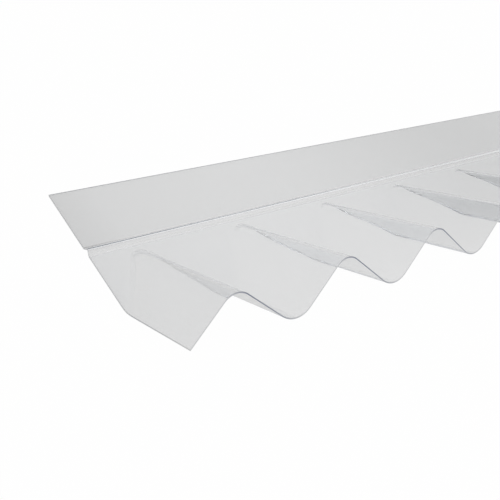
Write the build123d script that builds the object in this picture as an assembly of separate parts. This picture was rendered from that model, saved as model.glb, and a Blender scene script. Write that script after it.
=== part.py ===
from build123d import *
from math import asin, atan2, cos, hypot, radians, sin
import os

# Wall flashing of clear PVC, formed in one piece: a flat leaf that stands against the wall,
# a bead along its foot, and an apron of corrugations that laps over the roofing sheets.
# X runs along the wall, Y up the leaf and Z out of its weather side. The leaf lies on Z = 0.
# Sizes are in millimetres. Until the last step the origin is at the root of the crests.

PITCH = 76.2                    # from crest to crest, a 3 in roofing profile
WAVES = 12
LENGTH = WAVES * PITCH
WAVE_DEPTH = 24.4               # from the crest down to the valley, square to the apron
CREST_RADIUS = 11.0             # on the weather side, with a straight flank down to the valley
VALLEY_RADIUS = 15.0
FIRST_CREST = 0.38 * PITCH      # from the left end
ROOF_ANGLE = 30.0               # between the plane of the leaf and the run of the apron
APRON_RUN = 101.6               # along the crests, from their root to the front edge
SHEET = 1.0                     # thickness, measured square to the leaf

LEAF_WIDTH = 62.0               # from the root of the crests to the top edge
BEAD_FOOT = 4.4                 # from the root of the crests to the bead
BEAD_WIDTH = 6.8
BEAD_RIDGE = 2.7                # from the bead's foot to its ridge
BEAD_HEIGHT = 3.2
BEAD_RADIUS = 1.0

MARGIN = 20.0                   # the two forms reach this far past the trimmed sheet
FORM_DEPTH = 80.0               # and this far below the leaf

ALONG = Vector(0, -cos(radians(ROOF_ANGLE)), sin(radians(ROOF_ANGLE)))
OUTWARD = Vector(0, sin(radians(ROOF_ANGLE)), cos(radians(ROOF_ANGLE)))
ROOT = Vector(0, 0, SHEET)


def leaf_form():
    """The block under the leaf, its bead and the flat tongues at the heads of the valleys."""
    top = LEAF_WIDTH + MARGIN
    front = -APRON_RUN - MARGIN
    before_bead = BEAD_FOOT - 2 * BEAD_RADIUS
    bead = FilletPolyline(
        (before_bead, SHEET),
        (BEAD_FOOT, SHEET),
        (BEAD_FOOT + BEAD_RIDGE, SHEET + BEAD_HEIGHT),
        (BEAD_FOOT + BEAD_WIDTH, SHEET),
        (top, SHEET),
        radius=BEAD_RADIUS,
    )
    block = Polyline(
        (top, SHEET), (top, -FORM_DEPTH), (front, -FORM_DEPTH), (front, SHEET), (before_bead, SHEET)
    )
    section = make_face([*bead.edges(), *block.edges()])
    return extrude(Plane.YZ.offset(-MARGIN) * section, amount=LENGTH + 2 * MARGIN)


def flank_angle():
    """The slope of the straight flank that is tangent to a crest arc and a valley arc."""
    half = PITCH / 2
    both = CREST_RADIUS + VALLEY_RADIUS
    rise = WAVE_DEPTH - both
    return asin(both / hypot(half, rise)) + atan2(rise, half)


def wave_form():
    """The block under the corrugations, carried along the run of the apron.

    The wave is a zigzag of flanks, with a crest's or a valley's radius at every corner.
    """
    past_arc = 1 / cos(flank_angle()) - 1
    levels = (CREST_RADIUS * past_arc, -WAVE_DEPTH - VALLEY_RADIUS * past_arc)
    zigzag = [
        (FIRST_CREST + PITCH * (half_wave / 2 - 1), levels[half_wave % 2])
        for half_wave in range(2 * WAVES + 4)
    ]
    start = zigzag[0]
    end = zigzag[-1]
    inner_corners = len(zigzag) - 2
    radii = [(VALLEY_RADIUS, CREST_RADIUS)[corner % 2] for corner in range(inner_corners)]
    wave = FilletPolyline(*zigzag, radius=radii)
    block = Polyline(end, (end[0], -2 * FORM_DEPTH), (start[0], -2 * FORM_DEPTH), start)
    section = make_face([*wave.edges(), *block.edges()])
    behind = Plane(origin=ROOT - ALONG * FORM_DEPTH, x_dir=(1, 0, 0), z_dir=ALONG)
    return extrude(behind * section, amount=FORM_DEPTH + APRON_RUN + MARGIN)


def trim_block():
    """What is kept of the formed sheet: sawn off at both ends and square across the front."""
    front = ROOT + ALONG * APRON_RUN
    above = front + OUTWARD * MARGIN
    below = front - OUTWARD * 2 * WAVE_DEPTH
    outline = Polyline(
        (above.Y, above.Z),
        (below.Y, below.Z),
        (below.Y, -MARGIN),
        (LEAF_WIDTH, -MARGIN),
        (LEAF_WIDTH, above.Z),
        close=True,
    )
    return extrude(Plane.YZ * make_face(outline.edges()), amount=LENGTH)


def flashing_sheet():
    """The skin over both forms. It is as thick everywhere when measured square to the leaf,
    so it thins on the flanks, as a warm sheet does when it is drawn down over its mould."""
    form = leaf_form() + wave_form()
    return (form & trim_block()) - Pos(0, 0, -SHEET) * form


def stand_on_origin(shape):
    """Puts the origin under the middle of the shape, on the level that it lies on."""
    box = shape.bounding_box()
    return Pos(-box.center().X, -box.center().Y, -box.min.Z) * shape


os.makedirs("parts", exist_ok=True)
sheet = stand_on_origin(flashing_sheet())
export_step(sheet, "parts/flashing_sheet.step")
print("volume", round(sheet.volume), "mm3, size", sheet.bounding_box().size)
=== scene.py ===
import math

import bpy
import numpy as np
from mathutils import Matrix, Vector


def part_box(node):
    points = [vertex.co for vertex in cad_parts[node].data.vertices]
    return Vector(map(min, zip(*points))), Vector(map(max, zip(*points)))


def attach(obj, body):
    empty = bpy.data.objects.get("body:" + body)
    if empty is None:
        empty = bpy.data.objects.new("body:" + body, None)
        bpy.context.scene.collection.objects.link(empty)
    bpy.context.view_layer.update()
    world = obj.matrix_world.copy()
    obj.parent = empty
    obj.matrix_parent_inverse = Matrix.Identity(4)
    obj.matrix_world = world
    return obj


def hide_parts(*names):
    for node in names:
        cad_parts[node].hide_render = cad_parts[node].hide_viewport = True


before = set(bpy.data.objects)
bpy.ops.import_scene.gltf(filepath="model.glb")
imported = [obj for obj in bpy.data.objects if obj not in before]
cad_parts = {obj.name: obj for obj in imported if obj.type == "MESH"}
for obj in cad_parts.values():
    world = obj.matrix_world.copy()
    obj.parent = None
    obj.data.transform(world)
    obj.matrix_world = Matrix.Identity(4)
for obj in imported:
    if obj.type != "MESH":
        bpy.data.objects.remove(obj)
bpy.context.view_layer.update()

# The flashing sheet.
# It is one sheet of clear PVC, drawn down warm over a mould: a flat leaf for the wall, a small
# bead along its foot and an apron of corrugations that grow out of the plane of the leaf.
# It was sawn to length and width after forming. The light and shade that its sawn rim gathers
# from the sheet is painted on the rim, from grey to navy.

low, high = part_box("flashing_sheet")
SHEET = 0.001                   # thickness, measured square to the leaf
PITCH = 0.0762                  # from crest to crest
WAVES = round((high.x - low.x) / PITCH)
WAVE_DEPTH = 0.0244             # from the crest down to the valley, square to the apron
CREST_RADIUS = 0.011
VALLEY_RADIUS = 0.015
FIRST_CREST = low.x + 0.38 * PITCH      # the left end cuts the first wave short
ROOF = math.radians(30.0)       # between the plane of the leaf and the run of the apron
APRON_RUN = 0.1016              # along the crests, from their root to the front edge
RUN_OUT_RADIUS = 0.0034         # of the bend where the wave leaves the plane of the leaf

LEAF_WIDTH = 0.062              # this and the bead's places are measured from the crests' root
ROOT_Y = high.y - LEAF_WIDTH
BEAD_TOP = 0.0112
BEAD_RIDGE = 0.0071
BEAD_FOOT = 0.0044
BELOW_BEAD = 0.0034
BEAD_HEIGHT = 0.0032
BEAD_RADIUS = 0.001

GUARD = 0.0002                  # from the end of an arc to the point that keeps the straight flat
BEND_ROWS = 6                   # rows of the grid in each bend of the bead
LEAF_ROWS = 5                   # rows from the leaf's top edge on, before the bead's own
TONGUE = np.array([0.2, 0.4, 0.6, 0.8, 0.97])[:, None]     # rows of the tongue, as parts of it
RUN_OUT = np.linspace(1, -1, 15)[:, None]                  # rows from side to side of the run-out
RUN = np.array([0.03, 0.2, 0.4, 0.6, 0.8, 1.0])[:, None]   # rows on to the front, as parts
RUN_OUT_ROWS = slice(-len(RUN_OUT) - len(RUN), -len(RUN))
RUN_ROWS = slice(-len(RUN), None)
COLUMNS_PER_WAVE = 60


def rounded_path(corners, radius, steps):
    """A path along the corners with each inner one turned into an arc of the radius. The arc
    starts and ends radius * tan(turn / 2) from its corner, and is the circle's points at even
    angles between them. A guard point just outside each end of it keeps the straight parts flat."""
    corners = np.asarray(corners, float)
    path = [corners[:1]]
    for before, corner, after in zip(corners, corners[1:], corners[2:]):
        come, go = (corner - before), (after - corner)
        come, go = come / np.hypot(*come), go / np.hypot(*go)
        side = np.sign(come[0] * go[1] - come[1] * go[0])
        turn = math.acos(np.clip(come @ go, -1, 1))
        start = corner - come * radius * math.tan(turn / 2)
        inward = side * np.array([-come[1], come[0]])
        angles = np.linspace(0, turn, steps)[:, None]
        path.append((start - GUARD * come)[None])
        path.append(start + radius * (np.sin(angles) * come + (1 - np.cos(angles)) * inward))
        path.append(path[-1][-1:] + GUARD * go)
    return np.vstack([*path, corners[-1:]])


def leaf_section():
    """The section of the leaf and bead, from the top edge down to just below the bead: a straight
    line to the bead and its two straight sides, with a bend of one radius at its top, ridge and
    foot."""
    corners = [
        (LEAF_WIDTH, 0.0),
        (BEAD_TOP, 0.0),
        (BEAD_RIDGE, BEAD_HEIGHT),
        (BEAD_FOOT, 0.0),
        (BELOW_BEAD, 0.0),
    ]
    section = rounded_path(corners, BEAD_RADIUS, BEND_ROWS)
    leaf = np.linspace(LEAF_WIDTH, section[1, 0], LEAF_ROWS, endpoint=False)
    return np.vstack([np.c_[leaf, 0 * leaf], section[1:]])


def flank_slope():
    """The angle of the straight flank that is tangent to the crest's and the valley's arc."""
    both = CREST_RADIUS + VALLEY_RADIUS
    rise = WAVE_DEPTH - both
    return math.asin(both / math.hypot(PITCH / 2, rise)) + math.atan2(rise, PITCH / 2)


def wave_height(x):
    """How far the wave lies below its crests: an arc at the crest, a straight flank tangent to
    it and an arc in the valley, by the distance from the nearest crest."""
    half = PITCH / 2
    slope = flank_slope()
    crest_half = CREST_RADIUS * math.sin(slope)
    valley_half = VALLEY_RADIUS * math.sin(slope)
    off = np.abs((x - FIRST_CREST + half) % PITCH - half)
    crest = np.sqrt(CREST_RADIUS**2 - np.minimum(off, crest_half) ** 2) - CREST_RADIUS
    flank = CREST_RADIUS * (math.cos(slope) - 1) - (off - crest_half) * math.tan(slope)
    in_valley = np.minimum(half - off, valley_half)
    valley = VALLEY_RADIUS - WAVE_DEPTH - np.sqrt(VALLEY_RADIUS**2 - in_valley**2)
    return np.where(off < crest_half, crest, np.where(off > half - valley_half, valley, flank))


def soft_max(a, b, softness):
    """The larger of two heights, with a cubic across the corner where they differ by less than
    the softness, so that the bend comes and goes softly."""
    near = np.maximum(softness - np.abs(a - b), 0)
    return np.maximum(a, b) + near**3 / (6 * softness**2)


def skin_grid(x, apron_run):
    """Points of the upper skin on a grid: columns along x, rows from the leaf's top edge to the
    front of the apron. The first rows follow the leaf and bead in section. The others run to the
    line where the wave leaves the plane of the leaf, at wave height / sin(roof angle), close up
    on both sides of it, and go on to the front, which is cut square to the apron. The corner at
    that line is rounded to one radius: its softness is radius * (difference of slope)**2."""
    section = leaf_section()
    y_leaf = np.repeat(section[:, :1], x.size, axis=1)
    z_leaf = np.repeat(section[:, 1:], x.size, axis=1)

    wave = wave_height(x)
    leaves = wave / math.sin(ROOF)
    front = wave * math.sin(ROOF) - apron_run * math.cos(ROOF)
    steepness = (np.gradient(wave, x) / math.cos(ROOF)) ** 2 + math.tan(ROOF) ** 2
    softness = RUN_OUT_RADIUS * steepness
    reach = softness / math.tan(ROOF)
    y_tongue = section[-1, 0] * (1 - TONGUE) + (leaves + reach) * TONGUE
    y_run_out = leaves + RUN_OUT * reach
    y_run = (leaves - reach) * (1 - RUN) + front * RUN
    y_apron = np.vstack([y_tongue, y_run_out, y_run])
    z_apron = soft_max(0 * y_apron, wave / math.cos(ROOF) - y_apron * math.tan(ROOF), softness)

    y = np.vstack([y_leaf, y_apron])
    z = np.vstack([z_leaf, z_apron])
    return np.stack([np.broadcast_to(x, y.shape), y + ROOT_Y, z + SHEET], axis=-1)


SOFT_FROM = 0.012               # ahead of the root, where the far run-outs begin to go soft
SOFT_OVER = 0.008               # and over this length they do
CREST_HALF = 0.010              # a crest's top reaches this far to each side of it


def far_run_out(x, upper):
    """1 where the far flanks bend out of the leaf's plane and 0 elsewhere, for each point of the
    grid: the flanks that fall along x, by 1 - (part of the way to a side of the run-out)**4. It
    rises from 0 to 1 over a short length ahead of the root."""
    wave = wave_height(x)
    falls = np.clip(-np.gradient(wave, x) / math.tan(flank_slope()), 0, 1)
    ahead = np.clip((-wave / math.sin(ROOF) - SOFT_FROM) / SOFT_OVER, 0, 1)
    bend = np.zeros(upper.shape[:2])
    bend[RUN_OUT_ROWS] = (1 - RUN_OUT**4) * falls * ahead
    return bend


def crest_tops(x, upper):
    """How near each point of the grid is to the top of a crest, from 1 there down to 0, by
    1 - (distance along x / half width)**2. It comes in row by row over the run-out, and is 0 on
    the leaf, the bead and the tongues."""
    off = (x - FIRST_CREST + PITCH / 2) % PITCH - PITCH / 2
    near = np.clip(1 - (off / CREST_HALF) ** 2, 0, 1)
    tops = np.zeros(upper.shape[:2])
    tops[RUN_OUT_ROWS] = np.linspace(0, 1, len(RUN_OUT))[:, None] * near
    tops[RUN_ROWS] = near
    return tops


PALE_RIM = 0.12                 # painted shade on the rim where nothing deepens it
CREST_DEEPER = 0.28             # what the height of the wave adds to that painted shade on the front
FALL_DEEPER = 0.38              # and what a falling flank adds, or a rising one takes away
END_SHARE = 0.35                # how much of that is left at the two ends
END_REACH = 0.055               # and the length in which that share would grow by 1
LEFT_DEEP = 0.24                # how much painted shade the left end has at its run-out
LEFT_FADE = 0.26                # and what it loses from there to its front
LEFT_FROM = 0.047               # ahead of the root, where the left end's run-out is
LEFT_RUN = 0.053                # and how far its front is from there


def painted_rim_shade(upper):
    """How much painted shade darkens the sawn rim, from 0 to 1, for each point of the grid; it stands
    in for the light that the clear sheet leads out to its rim. The front is darker the higher the
    wave stands and where it falls along x, and paler near the two ends, where light comes in. The
    left end's cut fades evenly from its run-out to its front, and the top edge of the leaf and the
    right end are pale."""
    x, z = upper[-1, :, 0], upper[-1, :, 2]
    slope = np.gradient(z, x) / math.tan(flank_slope())
    height = (z - z.min()) / np.ptp(z)
    from_end = np.minimum(x - low.x, high.x - x)
    front = np.clip(PALE_RIM + CREST_DEEPER * height - FALL_DEEPER * slope, 0, 1)
    ahead = (ROOT_Y - upper[:, 0, 1] - LEFT_FROM) / LEFT_RUN
    rim_shade = np.full(upper.shape[:2], PALE_RIM)
    rim_shade[:, 0] = np.where(ahead > 0, LEFT_DEEP - LEFT_FADE * ahead, PALE_RIM)
    rim_shade[-1] = front * np.clip(END_SHARE + from_end / END_REACH, 0, 1)
    return rim_shade


SHARP_ANGLE = math.radians(50)  # faces that meet at more than this are shaded with an edge


def sheet_mesh(name):
    """The upper skin, the same skin lowered by the sheet's thickness, and the rim between them.
    The lower skin's front is further along the apron, so that the cut is square."""
    x = np.linspace(low.x, high.x, WAVES * COLUMNS_PER_WAVE + 1)
    upper = skin_grid(x, APRON_RUN)
    lower = skin_grid(x, APRON_RUN + SHEET * math.sin(ROOF)) - [0, 0, SHEET]
    rows, columns = upper.shape[:2]
    points = np.vstack([upper.reshape(-1, 3), lower.reshape(-1, 3)])
    index = np.arange(rows * columns).reshape(rows, columns)
    under = index + rows * columns
    a, b, c, d = index[:-1, :-1], index[1:, :-1], index[1:, 1:], index[:-1, 1:]
    skins = [
        np.stack([a, b, c, d], -1).reshape(-1, 4),
        np.stack([d, c, b, a], -1).reshape(-1, 4) + rows * columns,
    ]
    around = np.r_[index[:, 0], index[-1, 1:], index[-2::-1, -1], index[0, -2:0:-1]]
    beneath = np.r_[under[:, 0], under[-1, 1:], under[-2::-1, -1], under[0, -2:0:-1]]
    rim = np.stack([around, beneath, np.roll(beneath, -1), np.roll(around, -1)], -1)
    faces = np.vstack([*skins, rim])
    mesh = bpy.data.meshes.new(name)
    mesh.from_pydata(points.tolist(), [], faces.tolist())
    is_rim = np.zeros(len(faces), np.int32)
    is_rim[-len(rim):] = 1
    mesh.polygons.foreach_set("material_index", is_rim)
    mesh.polygons.foreach_set("use_smooth", np.ones(len(faces), bool))
    mesh.set_sharp_from_angle(angle=SHARP_ANGLE)
    grids = {
        "painted_rim_shade": painted_rim_shade(upper),
        "far_run_out": far_run_out(x, upper),
        "crest_tops": crest_tops(x, upper),
    }
    for attribute, values in grids.items():
        layer = mesh.attributes.new(attribute, "FLOAT", "POINT")
        layer.data.foreach_set("value", np.tile(values.ravel(), 2).astype(np.float32))
    return mesh


class Wire:
    """A node socket that adds Math nodes to its tree when it is used in arithmetic."""

    def __init__(self, tree, socket):
        self.tree = tree
        self.socket = socket

    def node(self, kind, settings=(), **inputs):
        """Adds a node: its settings first, then the values or wires of its sockets. A socket goes
        by its name, with _ for a space, or by its place, as in i0, where names are shared."""
        made = self.tree.nodes.new(kind)
        for key, value in dict(settings).items():
            setattr(made, key, value)
        for key, value in inputs.items():
            place = int(key[1:]) if key[0] == "i" and key[1:].isdigit() else key.replace("_", " ")
            put = made.inputs[place]
            if isinstance(value, Wire):
                self.tree.links.new(value.socket, put)
            else:
                put.default_value = value
        return made

    def wire(self, made, output=0):
        """The wire that leaves a node at an output, by its place or name."""
        return Wire(self.tree, made.outputs[output])

    def maths(self, operation, *terms):
        """The wire of a new Math node with its terms in order."""
        sockets = {f"i{place}": term for place, term in enumerate(terms)}
        return self.wire(self.node("ShaderNodeMath", {"operation": operation}, **sockets))

    def __add__(self, other):
        return self.maths("ADD", self, other)

    def __sub__(self, other):
        return self.maths("SUBTRACT", self, other)

    def __mul__(self, other):
        return self.maths("MULTIPLY", self, other)

    def __rsub__(self, other):
        return self.maths("SUBTRACT", other, self)

    __radd__ = __add__
    __rmul__ = __mul__


def new_material(name):
    """A material with an empty node tree, a wire to start from and its output node."""
    material = bpy.data.materials.new(name)
    material.use_nodes = True
    material.node_tree.nodes.clear()
    start = Wire(material.node_tree, None)
    return material, start, start.node("ShaderNodeOutputMaterial")


def noise(start, where, scale, detail=2.0, roughness=0.5):
    """Soft noise around 0.5, with the scale's number of lumps to a metre."""
    sockets = {"Vector": where, "Scale": scale, "Detail": detail, "Roughness": roughness}
    return start.wire(start.node("ShaderNodeTexNoise", **sockets))


def blend(start, factor, first, second):
    """A colour between two others: the first at a factor of 0 and the second at 1."""
    settings = {"data_type": "RGBA"}
    return start.wire(start.node("ShaderNodeMix", settings, i0=factor, i6=first, i7=second), 2)


def ramp(start, value, begin, end):
    """0 below the beginning, 1 above the end and a smooth rise between them."""
    settings = {"interpolation_type": "SMOOTHSTEP"}
    return start.wire(start.node("ShaderNodeMapRange", settings, i0=value, i1=begin, i2=end))


def soft_line(start, value, middle, inner, outer):
    """1 within the inner distance of the middle, 0 past the outer one and a smooth fall between."""
    return 1 - ramp(start, start.maths("ABSOLUTE", value - middle), inner, outer)


def of_grid(start, attribute):
    """One of the mesh's own values for each point of the grid."""
    return start.wire(start.node("ShaderNodeAttribute", {"attribute_name": attribute}), "Fac")


BLACK = (0, 0, 0, 1)
WHITE = (1, 1, 1, 1)
LEAF_PAINTED_SHADE = (0.905, 0.911, 0.916, 1)                # the leaf, darker with painted shade
DRAWN = (0.938, 0.947, 0.956, 1)                # the waves, between this and the next one
DRAWN_CLEARER = (0.958, 0.964, 0.972, 1)
ROOT_PAINTED_SHADE = (0.5, 0.5, 0.5, 1)                  # painted shade at the bead's upper root at the left end
FOOT_PAINTED_HIGHLIGHT = (0.9, 0.9, 0.9, 1)                   # painted highlight along the bead's foot, where it was bent
SHADOW = (0.925, 0.93, 0.935, 1)                # what the sheet lets through into its shadow
INSIDE = (0.0, 0.15, 0.45, 1)                   # what the inside spares of red, green and blue
INSIDE_PER_METRE = 5.0                          # and how strongly it soaks up the rest
REFRACTION = 1.5

CLOUDS = 9.0                    # lumps to a metre in the drawn sheet's clearness
SCUFFS = 160.0                  # and in its fine scuffs
SCUFF_DETAIL = 6.0
SCUFF_CRISPNESS = 0.65
POLISHED = 0.03                 # roughness where nothing has scuffed the sheet
SCUFFED = 0.04                  # and the most that scuffs add
THICK_TO = 0.014                # the leaf's painted shade fades out over this height above it
DENSITY = 0.075                 # how far the sheet's colour goes to black, on average
DARKENING_WAVE = 0.065            # and how far that rises and falls along the length
CLEAREST = 0.13                 # from the left end
DARKENING_LENGTH = 0.54           # from one clearest place to the next
CORNER_PAINTED_SHADE = 0.05           # painted shade added at the leaf's left end
CORNER_WIDTH = 0.036            # and how far from the end it has faded out
CREST_DARKENING = 0.018           # what is added on top of the crests
ROOT_ASIDE = 0.0002             # the painted line along the bead's upper root lies this far above its corner
ROOT_LINE = (0.0001, 0.0006)    # half widths of its core and of the whole line
ROOT_SHARE = 0.95               # how far the painted line takes the place of the sheet's colour
ROOT_DARK = (0.005, 0.04)       # it goes from painted shade to painted light between these, from the left end
FOOT_LINE = (0.0004, 0.0012)    # half widths of the painted highlight's core along the bead's foot, and of the whole line
FOOT_SHARE = 0.42               # how far the painted highlight takes the place of clear sheet
SOFT_SHARE = 0.85               # how many of the rays pass a far run-out unbent


def sheet_tint(start, place):
    """The colour of the sheet. The waves are clear, with a tint that varies at random, and the leaf
    is darker with painted shade, most of all at its left end. The crests are a little darker, and
    so is the sheet in slow waves along its length. A painted line of shade runs along the bead's
    upper root near the left end, and a painted light line takes its place after it."""
    axes = start.node("ShaderNodeSeparateXYZ", Vector=place)
    along, across, above = (start.wire(axes, axis) for axis in "XYZ")
    leaf = ramp(start, across, ROOT_Y + BEAD_FOOT, ROOT_Y + BEAD_TOP)
    # Painted shade on the leaf, fading out above it.
    leaf_shaded = leaf * (1 - ramp(start, above, SHEET, SHEET + THICK_TO))
    drawn = blend(start, noise(start, place, CLOUDS), DRAWN, DRAWN_CLEARER)
    tint = blend(start, leaf_shaded, drawn, LEAF_PAINTED_SHADE)

    slow = start.maths("COSINE", (along - (low.x + CLEAREST)) * (2 * math.pi / DARKENING_LENGTH))
    # More painted shade at the leaf's left end.
    corner = leaf_shaded * (1 - ramp(start, along, low.x, low.x + CORNER_WIDTH))
    crest = of_grid(start, "crest_tops")
    darkening = DENSITY - DARKENING_WAVE * slow + CORNER_PAINTED_SHADE * corner + CREST_DARKENING * crest
    tint = blend(start, darkening, tint, BLACK)

    # A painted line along the bead's upper root: painted shade near the left end, painted light after it.
    root = soft_line(start, across, ROOT_Y + BEAD_TOP + ROOT_ASIDE, *ROOT_LINE)
    dark_from, dark_to = ROOT_DARK
    after = ramp(start, along, low.x + dark_from, low.x + dark_to)
    return blend(start, ROOT_SHARE * root, tint, blend(start, after, ROOT_PAINTED_SHADE, WHITE))


def clear_pvc():
    """Clear PVC with light scuffs, and a painted highlight along the foot of the bead, where it was
    bent. The inside soaks up red light, so that long ways through it, at folds and contours, look
    navy. Shadow rays and diffuse rays pass straight through, and so do the rays that reach the far
    run-outs through another layer, because the real bend is too soft to show a line there."""
    material, start, output = new_material("clear_pvc")
    place = start.wire(start.node("ShaderNodeTexCoord"), "Object")
    across = start.wire(start.node("ShaderNodeSeparateXYZ", Vector=place), "Y")
    scuff = noise(start, place, SCUFFS, SCUFF_DETAIL, SCUFF_CRISPNESS)
    clear = start.node(
        "ShaderNodeBsdfPrincipled",
        Base_Color=sheet_tint(start, place),
        Roughness=POLISHED + scuff * SCUFFED,
        IOR=REFRACTION,
        Transmission_Weight=1.0,
    )
    painted_highlight = start.node("ShaderNodeBsdfDiffuse", Color=FOOT_PAINTED_HIGHLIGHT)
    # A painted highlight: a white diffuse line mixed into the clear sheet along the bead's foot.
    foot = FOOT_SHARE * soft_line(start, across, ROOT_Y + BEAD_FOOT, *FOOT_LINE)
    body = start.node("ShaderNodeMixShader", Fac=foot, i1=start.wire(clear), i2=start.wire(painted_highlight))

    passing = start.node("ShaderNodeBsdfTransparent", Color=SHADOW)
    rays = start.node("ShaderNodeLightPath")
    soft = SOFT_SHARE * of_grid(start, "far_run_out") * (1 - start.wire(rays, "Is Camera Ray"))
    passes = start.maths("MAXIMUM", start.wire(rays, "Is Shadow Ray"), start.wire(rays, "Is Diffuse Ray"))
    passes = start.maths("MAXIMUM", passes, soft)
    surface = start.node("ShaderNodeMixShader", Fac=passes, i1=start.wire(body), i2=start.wire(passing))
    start.tree.links.new(surface.outputs[0], output.inputs["Surface"])
    inside = start.node("ShaderNodeVolumeAbsorption", Color=INSIDE, Density=INSIDE_PER_METRE)
    start.tree.links.new(inside.outputs[0], output.inputs["Volume"])
    return material


SAW_MARKS = 900.0               # lumps to a metre
SAWN = 0.4                      # roughness between the marks
MARKED = 0.2                    # and the most that they add
# The rim's grey, and the navy of its painted shade, which the saw marks vary.
RIM_GREY = (0.66, 0.67, 0.68, 1)
RIM_PAINTED_SHADE = (0.008, 0.02, 0.09, 1)
RIM_PAINTED_SHADE_LIGHTER = (0.035, 0.07, 0.2, 1)


def sawn_rim():
    """The sawn rim, from the grey of the sheet to the navy of the painted shade on it, with saw marks."""
    material, start, output = new_material("sawn_rim")
    place = start.wire(start.node("ShaderNodeTexCoord"), "Object")
    marks = noise(start, place, SAW_MARKS)
    navy = blend(start, marks, RIM_PAINTED_SHADE, RIM_PAINTED_SHADE_LIGHTER)
    body = start.node(
        "ShaderNodeBsdfPrincipled",
        Base_Color=blend(start, of_grid(start, "painted_rim_shade"), RIM_GREY, navy),
        Roughness=SAWN + marks * MARKED,
        IOR=REFRACTION,
    )
    start.tree.links.new(body.outputs[0], output.inputs["Surface"])
    return material


sheet = bpy.data.objects.new("flashing_sheet_clear", sheet_mesh("flashing_sheet_clear"))
bpy.context.scene.collection.objects.link(sheet)
sheet.data.materials.append(clear_pvc())
sheet.data.materials.append(sawn_rim())
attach(sheet, "root")
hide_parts("flashing_sheet")

# The floor and the light.
# A plain white floor under a soft dome and one wide light. It lies a hair below the sheet, so
# that no two faces share a plane. The sheet's shadow stays on it, lighter where the camera looks
# at it straight than where it is seen through the sheet.

FLOOR_HALF = 15.0
FLOOR_LEVEL = -0.0002
FLOOR_PAINT = (0.80, 0.785, 0.765, 1)
LIFT_STRAIGHT = 0.98            # how far the floor is lifted to white, where it is seen straight
LIFT_MIRRORED = 0.3             # where it is mirrored in the sheet
LIFT_THROUGH = 0.12             # and through the sheet


def floor_paint():
    """White for the camera, with a little of the shadow, and less so through the sheet."""
    material, start, output = new_material("floor_paint")
    rays = start.node("ShaderNodeLightPath")
    lift = (
        start.wire(rays, "Is Camera Ray") * LIFT_STRAIGHT
        + start.wire(rays, "Is Glossy Ray") * LIFT_MIRRORED
        + start.wire(rays, "Is Transmission Ray") * LIFT_THROUGH
    )
    paint = start.node("ShaderNodeBsdfDiffuse", Color=FLOOR_PAINT)
    glow = start.node("ShaderNodeEmission", Color=WHITE, Strength=1.0)
    mix = start.node("ShaderNodeMixShader", Fac=lift, i1=start.wire(paint), i2=start.wire(glow))
    start.tree.links.new(mix.outputs[0], output.inputs["Surface"])
    return material


corner_signs = [(-1, -1), (1, -1), (1, 1), (-1, 1)]
floor_corners = [(x * FLOOR_HALF, y * FLOOR_HALF, FLOOR_LEVEL) for x, y in corner_signs]
floor_mesh = bpy.data.meshes.new("floor")
floor_mesh.from_pydata(floor_corners, [], [(0, 1, 2, 3)])
floor = bpy.data.objects.new("floor", floor_mesh)
bpy.context.scene.collection.objects.link(floor)
floor_mesh.materials.append(floor_paint())

DOME_SEEN = 1.0                 # the dome as the camera sees it, straight or through the sheet
DOME_LIT = 0.7                  # and as it lights the rest

world = bpy.data.worlds.new("dome")
bpy.context.scene.world = world
world.use_nodes = True
world.node_tree.nodes.clear()
sky = Wire(world.node_tree, None)
sky_rays = sky.node("ShaderNodeLightPath")
seen_rays = [sky.wire(sky_rays, "Is Camera Ray"), sky.wire(sky_rays, "Is Transmission Ray")]
seen_sky = sky.node("ShaderNodeBackground", Color=WHITE, Strength=DOME_SEEN)
lit_sky = sky.node("ShaderNodeBackground", Color=WHITE, Strength=DOME_LIT)
is_seen = sky.maths("MAXIMUM", *seen_rays)
dome = sky.node("ShaderNodeMixShader", Fac=is_seen, i1=sky.wire(lit_sky), i2=sky.wire(seen_sky))
world_output = sky.node("ShaderNodeOutputWorld")
world.node_tree.links.new(dome.outputs[0], world_output.inputs["Surface"])

KEY_AT = Vector((-1.4, -0.8, 2.2))
KEY_SIDE = 2.0
KEY_WATTS = 16.0

key = bpy.data.lights.new("key", "AREA")
key.shape = "RECTANGLE"
key.size = KEY_SIDE
key.size_y = KEY_SIDE
key.energy = KEY_WATTS
key_object = bpy.data.objects.new("key", key)
key_object.location = KEY_AT
key_object.rotation_euler = (-KEY_AT).to_track_quat("-Z", "Y").to_euler()
bpy.context.scene.collection.objects.link(key_object)

# The camera and the render.
# The camera looks along the sheet from beyond its left end, as in the photograph. Light may turn
# many times on its way, because with fewer turns the clear sheet's folds go black.

CAMERA_AT = Vector((-0.61485, -0.23849, 0.29139))
CAMERA_AIM = Vector((-0.35815, -0.00368, 0.0))
CAMERA_ROLL = math.radians(-19.429)
LENS = 51.03                    # in millimetres, like the width of the sensor
SENSOR = 36.0
NEAREST = 0.01
LIGHT_TURNS = 128

camera_data = bpy.data.cameras.new("camera")
camera_data.lens = LENS
camera_data.sensor_width = SENSOR
camera_data.clip_start = NEAREST
camera = bpy.data.objects.new("camera", camera_data)
aim = (CAMERA_AIM - CAMERA_AT).to_track_quat("-Z", "Y").to_matrix()
rolled = aim @ Matrix.Rotation(-CAMERA_ROLL, 3, "Z")
camera.matrix_world = Matrix.Translation(CAMERA_AT) @ rolled.to_4x4()
bpy.context.scene.collection.objects.link(camera)
bpy.context.scene.camera = camera

bpy.context.scene.view_settings.view_transform = "Standard"
light_paths = bpy.context.scene.cycles
light_paths.max_bounces = LIGHT_TURNS
light_paths.glossy_bounces = LIGHT_TURNS
light_paths.transmission_bounces = LIGHT_TURNS
light_paths.transparent_max_bounces = LIGHT_TURNS
